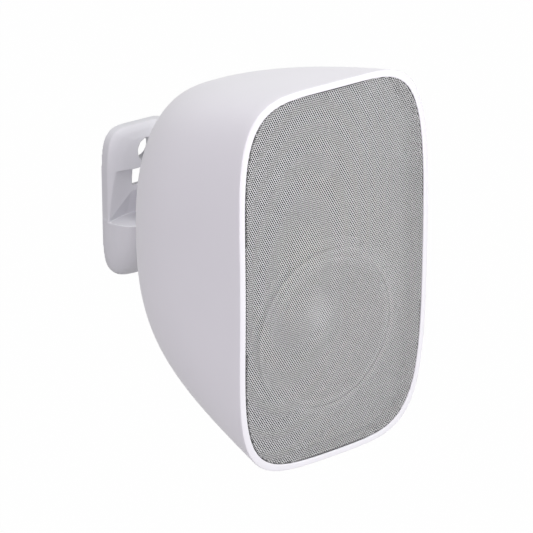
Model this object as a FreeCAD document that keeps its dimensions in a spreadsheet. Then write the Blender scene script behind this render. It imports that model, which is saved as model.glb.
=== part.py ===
import FreeCAD, Part
import math
import os

import Sketcher

# Wall speaker on a two-axis wall bracket.
# The pieces are drawn in a front view: x to the right, y up, z out from the wall.
# WALL_TURN then stands that view up, so that the wall is the plane Y = 0 and +Z is up.

DRIVING_SIZES = (
    ("front_width", 165, "cabinet width at the front rim"),
    ("front_height", 275, "cabinet height at the front rim"),
    ("cabinet_depth", 164, "crown of the front to the flat back"),
    ("wall_gap", 69, "wall to the flat back"),
    ("back_width", 62, "width of the flat back"),
    ("back_height", 150, "height of the flat back"),
    ("back_lift", 3, "how far the back sits above the front's centre"),
    ("side_fullness", 5.155, "power that keeps the sides full"),
    ("side_round", 1.846, "power that rounds the sides into the back"),
    ("top_round", 2.079, "power that rounds top and bottom into the back"),
    ("front_squareness", 4.85, "superellipse power of the front outline"),
    ("back_squareness", 2.155, "superellipse power of the back outline"),
    ("rim_land", 5.3, "straight land behind the front rim"),
    ("shell_wall", 4.5, "wall of the cabinet, seen as the front rim"),
    ("bow_across", 671, "radius of the front's bow from side to side"),
    ("bow_along", 1716, "radius of the front's bow from top to bottom"),
    ("grille_setback", 0.5, "grille below the rim"),
    ("grille_sheet", 1.0, "thickness of the grille's steel sheet"),
    ("grille_gap", 0.35, "gap between the grille or the baffle and the shell"),
    ("grille_border", 6, "plain border of the grille round its openings"),
    ("grille_rib", 4.3, "ribs between the grille's openings"),
    ("baffle_setback", 16, "crown of the front to the baffle's face"),
    ("baffle_wall", 9, "thickness of the baffle"),
    ("boss_radius", 7, "screw bosses in the shell"),
    ("boss_overlap", 1, "how far the bosses reach into the shell's wall"),
    ("boss_length", 16, "length of the baffle's bosses"),
    ("boss_height", 70, "height of the side bosses from the centre"),
    ("screw_radius", 1.9, "shank of the case screws"),
    ("screw_head", 3.6, "head radius of the case screws"),
    ("screw_cap", 2.4, "head height of the case screws"),
    ("screw_length", 16, "shank length of the case screws"),
    ("woofer_height", -45, "woofer's centre from the front's centre"),
    ("woofer_flange", 66.5, "outer radius of the woofer's flange"),
    ("flange_wall", 3.5, "thickness of the drivers' flanges"),
    ("seat_gap", 0.4, "gap round a flange in its seat"),
    ("basket_mouth", 56, "radius of the basket's mouth"),
    ("basket_shelf", 38.5, "inner radius of the spider's shelf"),
    ("shelf_width", 6, "width of the spider's shelf"),
    ("hub_rim", 4, "basket's hub beyond the voice coil"),
    ("basket_sheet", 2, "sheet thickness of the basket"),
    ("window_span", 30, "width of the basket's windows"),
    ("shelf_depth", 30, "flange face to the spider's shelf"),
    ("basket_depth", 44, "flange face to the motor"),
    ("cone_edge", 48.5, "outer radius of the cone"),
    ("cone_sheet", 0.9, "thickness of the cone"),
    ("cone_depth", 24, "flange face to the cone's neck"),
    ("cap_radius", 28, "radius of the dust cap"),
    ("cap_rise", 8, "rise of the dust cap"),
    ("surround_roll", 2.8, "height of the surround's roll"),
    ("surround_sheet", 0.8, "thickness of the surround"),
    ("surround_lip", 3.5, "glued lip of the surround"),
    ("gasket_height", 2, "thickness of the woofer's gasket"),
    ("spider_gap", 0.5, "gap round the spider on its shelf"),
    ("spider_wave", 2.2, "height of the spider's waves"),
    ("coil_radius", 13.1, "outer radius of the voice coil"),
    ("coil_wall", 0.7, "wall of the voice coil"),
    ("coil_length", 27, "length of the voice coil"),
    ("coil_gap", 0.5, "air gap on each side of the coil"),
    ("plate_radius", 42, "radius of the motor's steel plates"),
    ("plate_wall", 6, "thickness of the motor's steel plates"),
    ("magnet_radius", 45, "outer radius of the ring magnet"),
    ("magnet_bore", 22, "bore radius of the ring magnet"),
    ("magnet_wall", 16, "thickness of the ring magnet"),
    ("driver_screw", 1.6, "shank radius of the drivers' screws"),
    ("driver_head", 2.6, "head radius of the drivers' screws"),
    ("driver_cap", 1.6, "head height of the drivers' screws"),
    ("driver_length", 8, "shank length of the drivers' screws"),
    ("tweeter_height", 77, "tweeter's centre from the front's centre"),
    ("tweeter_flange", 27, "radius of the tweeter's faceplate"),
    ("guide_mouth", 20.5, "front radius of the tweeter's waveguide"),
    ("guide_throat", 14.2, "throat radius of the tweeter's waveguide"),
    ("guide_lip", 0.6, "thickness of the waveguide at its throat"),
    ("dome_radius", 12.6, "radius of the tweeter's dome"),
    ("dome_rise", 4.4, "rise of the tweeter's dome"),
    ("dome_sheet", 0.5, "thickness of the tweeter's dome"),
    ("dome_coil", 5, "length of the dome's coil"),
    ("motor_radius", 18, "radius of the tweeter's motor"),
    ("motor_depth", 20, "depth of the tweeter's motor"),
    ("board_width", 96, "width of the crossover board"),
    ("board_height", 28, "height of the crossover board"),
    ("board_level", 31, "board's centre from the front's centre"),
    ("board_wall", 1.6, "thickness of the crossover board"),
    ("post_length", 8, "posts that carry the board"),
    ("post_radius", 3.2, "radius of the posts"),
    ("post_inset", 5, "posts from the board's edges"),
    ("winding_radius", 11, "radius of the crossover's coils"),
    ("winding_length", 14, "length of the crossover's coils"),
    ("winding_flange", 1.5, "thickness of the coils' bobbin flanges"),
    ("winding_step", 1.3, "height of the bobbin flanges"),
    ("winding_gap", 2, "each coil from the board's middle"),
    ("capacitor_radius", 7, "radius of the crossover's capacitors"),
    ("capacitor_length", 24, "length of the crossover's capacitors"),
    ("terminal_drop", 48, "terminals below the back's centre"),
    ("terminal_width", 34, "width of the terminal block's flange"),
    ("terminal_height", 18, "height of the terminal block's flange"),
    ("terminal_lip", 3, "flange beyond the terminal block's body"),
    ("terminal_plate", 2, "thickness of the terminal block's flange"),
    ("terminal_rise", 6, "how far the terminals stand out"),
    ("terminal_body", 12, "terminal block inside the cabinet"),
    ("terminal_pitch", 13, "distance between the two terminals"),
    ("terminal_screw", 3.1, "head radius of the terminals' screws"),
    ("yoke_width", 44, "width of the yoke's plate"),
    ("yoke_height", 56, "height of the yoke's plate"),
    ("yoke_wall", 4, "thickness of the yoke's plate"),
    ("yoke_corner", 6, "corner radius of the yoke's plate"),
    ("ear_wall", 5, "thickness of the yoke's ears"),
    ("ear_radius", 11, "radius of the ears round the tilt bolt"),
    ("tilt_reach", 19, "flat back to the tilt axis"),
    ("tilt_radius", 3, "tilt bolt"),
    ("running_gap", 0.05, "running gap round the two bolts"),
    ("washer_wall", 1, "thickness of the friction washers"),
    ("barrel_radius", 10, "arm's barrel round the tilt bolt"),
    ("barrel_width", 20, "width of the arm's barrel"),
    ("neck_width", 15, "width of the arm's neck"),
    ("foot_radius", 10.5, "arm's foot on the bracket's ledge"),
    ("foot_height", 15, "height of the arm's foot"),
    ("pan_reach", 20.5, "wall to the pan axis"),
    ("pan_radius", 3, "pan bolt"),
    ("pan_head", 5.5, "head radius of the pan bolt"),
    ("bolt_cap", 4.5, "head height of the two bolts"),
    ("nut_height", 6, "height of the two nuts"),
    ("nut_gap", 0.8, "gap round the pan bolt's nut in its pocket"),
    ("head_gap", 0.8, "gap between the pan bolt's head and the arm's neck"),
    ("bracket_width", 63.5, "width of the bracket"),
    ("bracket_height", 115.5, "height of the bracket"),
    ("bracket_drop", 10.6, "bracket's centre below the front's centre"),
    ("bracket_side", 7, "straight side wall of the bracket"),
    ("bracket_depth", 33, "wall to the crown of the bracket's lower block"),
    ("crown_drop", 26, "crown of the lower block below the front's centre"),
    ("plate_depth", 15, "thickness of the bracket's upper part"),
    ("notch_top", 16, "top of the arm's notch above the front's centre"),
    ("notch_depth", 13.2, "back of the notch from the wall, at its top"),
    ("ledge_drop", 23, "ledge under the arm, below the front's centre"),
    ("ledge_depth", 7.6, "back of the notch from the wall, at the ledge"),
    ("trough_depth", 2.5, "back of the trough from the wall, at the ledge"),
    ("cable_hole", 8.8, "radius of the round cable hole"),
    ("cable_height", 28, "cable hole above the front's centre"),
    ("window_width", 23, "width of the window in the notch"),
    ("window_low", 2, "window's lower edge above the front's centre"),
    ("window_high", 15.5, "window's upper edge above the front's centre"),
    ("window_corner", 2, "corner radius of the window"),
    ("window_wall", 3, "wall left round the window by the pocket behind it"),
    ("wall_screw", 2.3, "radius of the wall screws' holes"),
    ("wall_screw_well", 4.8, "radius of the wells round the wall screws"),
    ("wall_screw_floor", 6, "wall left under the screws' heads"),
    ("wall_screw_pitch", 25, "distance between the two wall screws"),
    ("wall_screw_drop", 46, "wall screws below the front's centre"),
    ("nut_pocket", 6, "radius of the pocket for the pan bolt's nut"),
    ("nut_roof", 16, "ledge to the roof of the nut's pocket"),
)

SECTION_POINTS = 40
SPIDER_WAVES = 6
WOOFER_SCREWS = 6
TWEETER_SCREWS = 3
STATION_SHARES = (0.0, 0.07, 0.18, 0.34, 0.52, 0.68, 0.8, 0.89, 0.95, 0.985, 1.0)
LEAD = 3
BASKET_WINDOWS = 6
SEAM_RISE = 1
GRILLE_COLUMNS = 12
GRILLE_ROWS = 6
FAR = 400

# Sections of the bracket's upper pillow: share of the way from its side wall to its crown,
# inset from the outline, squareness
PILLOW_SECTIONS = (
    (0.0, 0.15, 5.0),
    (0.28, 2.0, 4.8),
    (0.58, 5.5, 4.5),
    (0.83, 11.0, 4.0),
    (1.0, 19.0, 3.5),
)
BOX_UPRIGHT_EDGES = (1, 3, 5, 7)

# Sections of the bracket's lower block: share of the way from its side wall to its crown,
# inset across, inset along, share of the way down to the crown, squareness
BLOCK_SECTIONS = (
    (0.0, 0.0, 0.0, 0.0, 5.0),
    (0.31, 2.5, 4.5, 0.0, 4.5),
    (0.66, 8.5, 25.0, 0.6, 3.0),
    (1.0, 23.0, 47.0, 1.0, 2.2),
)

WALL_TURN = FreeCAD.Rotation(FreeCAD.Vector(1, 0, 0), 90)
ALONG_Z = FreeCAD.Rotation()
ALONG_Y = FreeCAD.Rotation(FreeCAD.Vector(1, 0, 0), -90)
ALONG_X = FreeCAD.Rotation(FreeCAD.Vector(0, 1, 0), 90)
BACKWARDS = FreeCAD.Rotation(FreeCAD.Vector(1, 0, 0), 180)

doc = FreeCAD.newDocument("WallSpeaker")
sheet = doc.addObject("Spreadsheet::Sheet", "Sizes")
nodes = {}


class Size:
    """A length that knows its value and the sheet formula that gives it."""

    def __init__(self, value, text):
        self.value = float(value)
        self.text = text

    def __add__(self, other):
        other = as_size(other)
        return Size(self.value + other.value, f"({self.text} + {other.text})")

    def __sub__(self, other):
        other = as_size(other)
        return Size(self.value - other.value, f"({self.text} - {other.text})")

    def __mul__(self, other):
        other = as_size(other)
        return Size(self.value * other.value, f"({self.text} * {other.text})")

    def __truediv__(self, other):
        other = as_size(other)
        return Size(self.value / other.value, f"({self.text} / {other.text})")

    def __pow__(self, other):
        other = as_size(other)
        return Size(self.value**other.value, f"({self.text} ^ {other.text})")

    def __radd__(self, other):
        return as_size(other) + self

    def __rsub__(self, other):
        return as_size(other) - self

    def __rmul__(self, other):
        return as_size(other) * self

    def __rtruediv__(self, other):
        return as_size(other) / self

    def __neg__(self):
        return Size(-self.value, f"(0 - {self.text})")


class Sizes:
    """The driving sizes, by name."""


def as_size(number):
    if isinstance(number, Size):
        return number
    return Size(number, f"({number})")


def fill_sheet():
    sizes = Sizes()
    for row, (alias, value, note) in enumerate(DRIVING_SIZES, start=1):
        sheet.set(f"A{row}", note)
        sheet.set(f"B{row}", str(value))
        sheet.setAlias(f"B{row}", alias)
        setattr(sizes, alias, Size(value, f"Sizes.{alias}"))
    doc.recompute()
    return sizes


s = fill_sheet()


# Document helpers


def bind(feature, path, size):
    feature.setExpression(path, as_size(size).text)


def put(feature, at, turn=ALONG_Z):
    x, y, z = (as_size(c) for c in at)
    feature.Placement = FreeCAD.Placement(FreeCAD.Vector(x.value, y.value, z.value), turn)
    bind(feature, "Placement.Base.x", x)
    bind(feature, "Placement.Base.y", y)
    bind(feature, "Placement.Base.z", z)
    return feature


def node(label, feature, at=(0, 0, 0), turn=ALONG_Z):
    x, y, z = (as_size(c) for c in at)
    put(feature, (x, -z, y + s.bracket_drop), WALL_TURN.multiply(turn))
    feature.Label = label
    nodes[label] = feature
    return feature


def cylinder(name, radius, height, at, turn=ALONG_Z):
    feature = doc.addObject("Part::Cylinder", name)
    bind(feature, "Radius", radius)
    bind(feature, "Height", height)
    return put(feature, at, turn)


def box(name, low, high):
    feature = doc.addObject("Part::Box", name)
    for prop, start, end in zip(("Length", "Width", "Height"), low, high):
        bind(feature, prop, as_size(end) - start)
    return put(feature, low)


def prism(name, corner, height, at):
    feature = doc.addObject("Part::Prism", name)
    feature.Polygon = 6
    bind(feature, "Circumradius", corner)
    bind(feature, "Height", height)
    return put(feature, at)


def fuse(name, *shapes):
    feature = doc.addObject("Part::MultiFuse", name)
    feature.Shapes = list(shapes)
    return feature


def common(name, base, tool):
    feature = doc.addObject("Part::Common", name)
    feature.Base = base
    feature.Tool = tool
    return feature


def cut(name, base, *tools):
    feature = doc.addObject("Part::Cut", name)
    feature.Base = base
    feature.Tool = tools[0] if len(tools) == 1 else fuse(name + "Tools", *tools)
    return feature


def group(name, *shapes):
    feature = doc.addObject("Part::Compound", name)
    feature.Links = list(shapes)
    return feature


# Sketch helpers


def origin_plane(body, role):
    return next(f for f in body.Origin.OriginFeatures if f.Role == role)


def hold_point(sketch, edge, end, x, y):
    for kind, axis, size in (("DistanceX", -2, as_size(x)), ("DistanceY", -1, as_size(y))):
        if size.value == 0:
            sketch.addConstraint(Sketcher.Constraint("PointOnObject", edge, end, axis))
        else:
            index = sketch.addConstraint(Sketcher.Constraint(kind, edge, end, size.value))
            bind(sketch, f"Constraints[{index}]", size)


def draw_outline(sketch, outline):
    """Draw a closed outline: each entry is a corner, or a pair of an arc's centre and its end."""
    corners = [entry[1] if isinstance(entry[0], tuple) else entry for entry in outline]
    edges = []
    for index, entry in enumerate(outline):
        start = plane_point(corners[index - 1])
        end = plane_point(corners[index])
        if isinstance(entry[0], tuple):
            curve = short_arc(plane_point(entry[0]), start, end)
        else:
            curve = Part.LineSegment(start, end)
        edges.append(sketch.addGeometry(curve, False))
    for index, edge in enumerate(edges):
        end = curve_end(sketch, edge, corners[index])
        following = edges[(index + 1) % len(edges)]
        start = 3 - curve_end(sketch, following, corners[(index + 1) % len(corners)])
        sketch.addConstraint(Sketcher.Constraint("Coincident", edge, end, following, start))
        hold_point(sketch, edge, end, *corners[index])
        if isinstance(outline[index][0], tuple):
            height = as_size(outline[index][0][1])
            held = sketch.addConstraint(Sketcher.Constraint("DistanceY", edge, 3, height.value))
            bind(sketch, f"Constraints[{held}]", height)


def plane_point(corner):
    x, y = (as_size(c).value for c in corner)
    return FreeCAD.Vector(x, y, 0)


def short_arc(centre, start, end):
    """The shorter arc about a centre between two points."""
    first = math.atan2(start.y - centre.y, start.x - centre.x)
    last = math.atan2(end.y - centre.y, end.x - centre.x)
    if (last - first) % (2 * math.pi) > math.pi:
        first, last = last, first
    circle = Part.Circle(centre, FreeCAD.Vector(0, 0, 1), centre.distanceToPoint(start))
    return Part.ArcOfCircle(circle, first, last)


def curve_end(sketch, edge, corner):
    """Number of the edge's vertex, 1 or 2, that lies at the corner."""
    target = plane_point(corner)
    first = sketch.getPoint(edge, 1).distanceToPoint(target)
    second = sketch.getPoint(edge, 2).distanceToPoint(target)
    return 1 if first < second else 2


def new_sketch(body, name, role, outline, offset=0):
    sketch = body.newObject("Sketcher::SketchObject", name)
    sketch.AttachmentSupport = (origin_plane(body, role), [""])
    sketch.MapMode = "FlatFace"
    bind(sketch, "AttachmentOffset.Base.z", offset)
    draw_outline(sketch, outline)
    return sketch


def turned_body(name, outline):
    """Body turned about z from an outline of (radius, z) corners."""
    body = doc.addObject("PartDesign::Body", name)
    sketch = new_sketch(body, name + "Outline", "XZ_Plane", outline)
    turn = body.newObject("PartDesign::Revolution", name + "Turn")
    turn.Profile = sketch
    turn.ReferenceAxis = (sketch, ["V_Axis"])
    turn.Angle = 360
    return body


def side_prism(name, outline, width):
    """Prism centred on x = 0 from an outline of (y, z) corners."""
    body = doc.addObject("PartDesign::Body", name)
    sketch = new_sketch(body, name + "Outline", "YZ_Plane", outline)
    pad = body.newObject("PartDesign::Pad", name + "Pad")
    pad.Profile = sketch
    pad.Midplane = True
    bind(pad, "Length", width)
    return body


def tube(name, inner, outer, low, high):
    return turned_body(name, ((inner, low), (outer, low), (outer, high), (inner, high)))


def dome_centre(radius, foot, crown):
    """Centre of the arc from the crown of a dome, on the axis, to its foot."""
    rise = crown - foot
    return as_size(0), crown - (radius * radius + rise * rise) / (2 * rise)


def screw(name, at, head, cap, shank, length, turn=ALONG_Z):
    """Pan-head screw: head towards +z of its own axis, shank behind."""
    body = turned_body(
        name,
        (
            (0, -as_size(length)),
            (shank, -as_size(length)),
            (shank, 0),
            (head, 0),
            (dome_centre(head, as_size(0), cap), (0, cap)),
        ),
    )
    return put(body, at, turn)


# Cabinet forms

front = s.wall_gap + s.cabinet_depth
baffle_face = front - s.baffle_setback
baffle_rear = baffle_face - s.baffle_wall


def share_size(share):
    """Half width, half height, lift, squareness and height z of one section of the cabinet."""
    share = as_size(share)
    rest = 1 - share
    side = (1 - share**s.side_fullness) ** (1 / s.side_round)
    half_width = s.back_width / 2 + (s.front_width - s.back_width) / 2 * side
    half_height = s.back_height / 2 + (s.front_height - s.back_height) / 2 * rest ** (1 / s.top_round)
    lift = s.back_lift * share
    squareness = s.front_squareness * rest + s.back_squareness * share
    z = front - s.cabinet_depth * share - s.rim_land * rest * rest
    return half_width, half_height, lift, squareness, z


def oval(name, half_width, half_height, lift, squareness, z):
    """Closed superellipse curve in a plane of constant z."""
    half_width, half_height, lift, squareness, z = (
        as_size(c).value for c in (half_width, half_height, lift, squareness, z)
    )
    points = []
    for step in range(SECTION_POINTS):
        angle = 2 * math.pi * step / SECTION_POINTS
        across = math.cos(angle)
        up = math.sin(angle)
        reach = (abs(across) ** squareness + abs(up) ** squareness) ** (-1 / squareness)
        points.append(FreeCAD.Vector(half_width * across * reach, lift + half_height * up * reach, z))
    curve = Part.BSplineCurve()
    curve.interpolate(Points=points, PeriodicFlag=True)
    section = doc.addObject("Part::Feature", name)
    section.Shape = Part.Wire(curve.toShape())
    return section


def loft(name, sections):
    feature = doc.addObject("Part::Loft", name)
    feature.Sections = sections
    feature.Solid = True
    return feature


def egg(name, inset):
    """The cabinet's outer form, taken in by an inset all round."""
    sections = []
    for index, share in enumerate(STATION_SHARES):
        half_width, half_height, lift, squareness, z = share_size(share)
        stops = [z + s.rim_land + LEAD, z] if index == 0 else [z]
        for stop in stops:
            section = oval(
                f"{name}Section{len(sections)}",
                half_width - inset,
                half_height - inset,
                lift,
                squareness,
                stop,
            )
            sections.append(section)
    return loft(name, sections)


def bowed_block(name, setback):
    """Everything behind the bowed front surface, set back from its crown."""
    ring = doc.addObject("Part::Torus", name)
    bind(ring, "Radius1", s.bow_along - s.bow_across)
    bind(ring, "Radius2", s.bow_across)
    return put(ring, (0, 0, front - setback - s.bow_along), ALONG_X)


def slab(name, low, high):
    """Block across the whole part between two heights z."""
    return box(name, (-FAR, -FAR, low), (FAR, FAR, high))


# Cabinet, baffle and grille


def boss_places():
    half_width, half_height, lift, _, _ = share_size(STATION_SHARES[2])
    inset = s.shell_wall + s.boss_radius - s.boss_overlap
    side = half_width - inset
    top = half_height - inset
    places = [(side * sign, s.boss_height * way) for sign in (-1, 1) for way in (-1, 1)]
    return places + [(as_size(0), lift + top), (as_size(0), lift - top)]


def yoke_screw_places():
    across = s.yoke_width / 2 - s.yoke_corner
    up = s.yoke_height / 2 - s.yoke_corner
    return [(across * sign, s.back_lift + up * way) for sign in (-1, 1) for way in (-1, 1)]


def terminal_opening(gap):
    half_width = s.terminal_width / 2 - s.terminal_lip + gap
    half_height = s.terminal_height / 2 - s.terminal_lip + gap
    middle = s.back_lift - s.terminal_drop
    return half_width, half_height, middle


def make_cabinet(outer):
    shell = common("ShellBowed", outer, bowed_block("FrontBow", 0))
    inside = egg("Inside", s.shell_wall)
    back_inner = s.wall_gap + s.shell_wall
    cavity = cut("Cavity", inside, slab("BackWall", back_inner - FAR, back_inner))
    hollow = cut("ShellHollow", shell, cavity)
    bosses = []
    holes = []
    for index, (x, y) in enumerate(boss_places()):
        low = baffle_rear - s.boss_length
        bosses.append(cylinder(f"Boss{index}", s.boss_radius, s.boss_length, (x, y, low)))
        depth = s.screw_length - s.baffle_wall
        holes.append(cylinder(f"BossHole{index}", s.screw_radius, depth, (x, y, baffle_rear - depth)))
    for index, (x, y) in enumerate(yoke_screw_places()):
        bosses.append(cylinder(f"YokeBoss{index}", s.boss_radius, s.screw_length, (x, y, s.wall_gap)))
        depth = s.screw_length - s.yoke_wall
        holes.append(cylinder(f"YokeHole{index}", s.screw_radius, depth, (x, y, s.wall_gap)))
    half_width, half_height, middle = terminal_opening(s.seat_gap)
    holes.append(
        box(
            "TerminalOpening",
            (-half_width, middle - half_height, s.wall_gap - LEAD),
            (half_width, middle + half_height, back_inner + LEAD),
        )
    )
    inner_bosses = common("BossesInside", fuse("Bosses", *bosses), outer)
    cabinet = cut("CabinetDone", fuse("ShellWithBosses", hollow, inner_bosses), *holes)
    node("cabinet", cabinet)


def driver_cut(name, height, flange, bore):
    seat = cylinder(name + "Seat", flange + s.seat_gap, FAR, (0, height, baffle_face - s.flange_wall))
    hole = cylinder(name + "Bore", bore, FAR, (0, height, baffle_face - FAR / 2))
    return [seat, hole]


def board_posts():
    across = s.board_width / 2 - s.post_inset
    up = s.board_height / 2 - s.post_inset
    return [(across * sign, s.board_level + up * way) for sign in (-1, 1) for way in (-1, 1)]


def ring_places(count, radius, height, start):
    places = []
    for step in range(count):
        angle = math.radians(start + 360 * step / count)
        places.append((radius * math.cos(angle), height + radius * math.sin(angle)))
    return places


def woofer_screw_places():
    return ring_places(WOOFER_SCREWS, s.woofer_flange - s.driver_head, s.woofer_height, 0)


def tweeter_screw_places():
    radius = s.tweeter_flange - s.driver_head - s.guide_lip
    return ring_places(TWEETER_SCREWS, radius, s.tweeter_height, 90)


def make_baffle(inner_form):
    plate = common("BafflePlate", inner_form, slab("BaffleSlab", baffle_rear, baffle_face))
    cuts = driver_cut("Woofer", s.woofer_height, s.woofer_flange, s.basket_mouth + s.basket_sheet)
    cuts += driver_cut("Tweeter", s.tweeter_height, s.tweeter_flange, s.motor_radius + s.seat_gap)
    for index, (x, y) in enumerate(boss_places()):
        cuts.append(cylinder(f"BaffleHole{index}", s.screw_radius, FAR, (x, y, baffle_rear - LEAD)))
    hole_depth = s.driver_length - s.flange_wall
    low = baffle_face - s.driver_length
    for index, (x, y) in enumerate(woofer_screw_places() + tweeter_screw_places()):
        cuts.append(cylinder(f"DriverHole{index}", s.driver_screw, hole_depth, (x, y, low)))
    posts = []
    for index, (x, y) in enumerate(board_posts()):
        end = baffle_rear - s.post_length
        posts.append(cylinder(f"Post{index}", s.post_radius, s.post_length, (x, y, end)))
        hole = s.driver_length - s.board_wall
        cuts.append(cylinder(f"PostHole{index}", s.driver_screw, hole, (x, y, end)))
    node("baffle", cut("BaffleDone", fuse("BaffleWithPosts", plate, *posts), *cuts))


def grille_openings():
    """Boxes through the grille, without the ones that the round corners would cut."""
    border = s.shell_wall + s.grille_gap + s.grille_border
    across = (s.front_width - 2 * border) / GRILLE_COLUMNS
    up = (s.front_height - 2 * border) / GRILLE_ROWS
    low = baffle_face + s.grille_sheet
    boxes = []
    for column in range(GRILLE_COLUMNS):
        for row in range(GRILLE_ROWS):
            if column in (0, GRILLE_COLUMNS - 1) and row in (0, GRILLE_ROWS - 1):
                continue
            x = across * (column - GRILLE_COLUMNS / 2) + s.grille_rib / 2
            y = up * (row - GRILLE_ROWS / 2) + s.grille_rib / 2
            far = (x + across - s.grille_rib, y + up - s.grille_rib, front + LEAD)
            boxes.append(box(f"GrilleOpening{column}x{row}", (x, y, low), far))
    return boxes


def make_grille(inner_form):
    outside = common("GrilleBowed", inner_form, bowed_block("GrilleBow", s.grille_setback))
    lid = cut("GrilleLid", outside, slab("BehindGrille", baffle_face - FAR, baffle_face))
    inner = egg("GrilleInside", s.shell_wall + s.grille_gap + s.grille_sheet)
    inner_bow = bowed_block("GrilleInnerBow", s.grille_setback + s.grille_sheet)
    cover = cut("GrilleCover", lid, common("GrilleHollow", inner, inner_bow))
    node("grille", cut("GrilleDone", cover, group("GrilleOpenings", *grille_openings())))


def case_screw(name, at, turn=ALONG_Z):
    return screw(name, at, s.screw_head, s.screw_cap, s.screw_radius, s.screw_length, turn)


def driver_screw(name, at, turn=ALONG_Z):
    return screw(name, at, s.driver_head, s.driver_cap, s.driver_screw, s.driver_length, turn)


def make_case_screws():
    screws = []
    for index, (x, y) in enumerate(boss_places()):
        at = (x, y, baffle_face)
        screws.append(case_screw(f"BaffleScrew{index}", at))
    node("baffle_screws", group("BaffleScrews", *screws))


# Woofer, drawn about its own axis with z = 0 at the baffle's face


def at_woofer(label, body):
    node(label, body, (0, s.woofer_height, baffle_face))


def make_basket():
    sheet_wall = s.basket_sheet
    wall_top = -s.flange_wall - s.flange_wall
    shelf = -s.shelf_depth
    rear = -s.basket_depth
    hub = s.coil_radius + s.hub_rim
    ledge = s.basket_shelf + s.shelf_width
    body = turned_body(
        "Basket",
        (
            (s.woofer_flange, 0),
            (s.woofer_flange, -s.flange_wall),
            (s.basket_mouth + sheet_wall - s.seat_gap, -s.flange_wall),
            (s.basket_mouth + sheet_wall - s.seat_gap, wall_top),
            (ledge + sheet_wall, shelf - sheet_wall),
            (s.basket_shelf + sheet_wall, shelf - sheet_wall),
            (s.basket_shelf + sheet_wall, rear),
            (hub, rear),
            (hub, rear + sheet_wall),
            (s.basket_shelf, rear + sheet_wall),
            (s.basket_shelf, shelf),
            (ledge, shelf),
            (s.basket_mouth, wall_top),
            (s.basket_mouth, 0),
        ),
    )
    low = shelf + LEAD
    high = wall_top - LEAD
    inner = s.basket_shelf
    cuts = []
    for step in range(BASKET_WINDOWS):
        angle = 360 * (step + 0.5) / BASKET_WINDOWS
        across = math.cos(math.radians(angle))
        up = math.sin(math.radians(angle))
        window = doc.addObject("Part::Box", f"BasketWindow{step}")
        bind(window, "Length", s.woofer_flange - inner)
        bind(window, "Width", s.window_span)
        bind(window, "Height", high - low)
        corner = (inner * across + s.window_span / 2 * up, inner * up - s.window_span / 2 * across, low)
        cuts.append(put(window, corner, FreeCAD.Rotation(FreeCAD.Vector(0, 0, 1), angle)))
    screw_ring = s.woofer_flange - s.driver_head
    for index, (x, y) in enumerate(ring_places(WOOFER_SCREWS, screw_ring, as_size(0), 0)):
        cuts.append(cylinder(f"FlangeHole{index}", s.driver_screw, FAR, (x, y, -FAR / 2)))
    at_woofer("woofer_basket", cut("BasketDone", body, *cuts))


cone_slope = s.cone_depth / (s.cone_edge - s.coil_radius)


def make_woofer_moving_parts():
    neck = -s.cone_depth
    cone = turned_body(
        "Cone",
        (
            (s.coil_radius, neck - s.cone_sheet),
            (s.cone_edge, -s.cone_sheet),
            (s.cone_edge, 0),
            (s.coil_radius, neck),
        ),
    )
    at_woofer("woofer_cone", cone)
    foot = -cone_slope * (s.cone_edge - s.cap_radius)
    crown = foot + s.cap_rise
    cap_inner = s.cap_radius - s.cone_sheet
    foot_inner = foot - cone_slope * s.cone_sheet
    crown_inner = crown - s.cone_sheet
    cap = turned_body(
        "DustCap",
        (
            (0, crown),
            (dome_centre(s.cap_radius, foot, crown), (s.cap_radius, foot)),
            (cap_inner, foot_inner),
            (dome_centre(cap_inner, foot_inner, crown_inner), (0, crown_inner)),
        ),
    )
    at_woofer("woofer_dust_cap", cap)
    coil_end = neck - s.coil_length
    coil_inner = s.coil_radius - s.coil_wall
    at_woofer("woofer_coil", tube("Coil", coil_inner, s.coil_radius, coil_end, neck + s.cone_sheet))


def roll_centre(inset, foot):
    """Centre of the surround's roll between its two feet."""
    half = (s.basket_mouth - s.cone_edge) / 2 - inset
    reach = (half * half + s.surround_roll * s.surround_roll) / (2 * s.surround_roll)
    return (s.cone_edge + s.basket_mouth) / 2, foot + s.surround_roll - reach


def make_woofer_suspension():
    wall = s.surround_sheet
    lip_inner = s.cone_edge - s.surround_lip
    lip_fall = cone_slope * s.surround_lip
    surround = turned_body(
        "Surround",
        (
            (s.basket_mouth + s.surround_lip, 0),
            (s.basket_mouth + s.surround_lip, wall),
            (s.basket_mouth, wall),
            (roll_centre(as_size(0), wall), (s.cone_edge, wall)),
            (lip_inner, wall - lip_fall),
            (lip_inner, -lip_fall),
            (s.cone_edge, 0),
            (s.cone_edge + wall, 0),
            (roll_centre(wall, as_size(0)), (s.basket_mouth - wall, 0)),
        ),
    )
    at_woofer("woofer_surround", surround)
    lip_top = s.surround_sheet + s.gasket_height
    lip_outer = s.basket_mouth + s.surround_lip
    at_woofer("woofer_gasket", tube("Gasket", s.basket_mouth, lip_outer, s.surround_sheet, lip_top))
    low = -s.shelf_depth
    outer = s.basket_shelf + s.shelf_width - s.spider_gap
    step = (outer - s.coil_radius) / SPIDER_WAVES
    top = [
        (s.coil_radius + step * k, low + wall + s.spider_wave * (k % 2)) for k in range(SPIDER_WAVES + 1)
    ]
    under = [(x, z - wall) for x, z in reversed(top)]
    at_woofer("woofer_spider", turned_body("Spider", tuple(top + under)))


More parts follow.
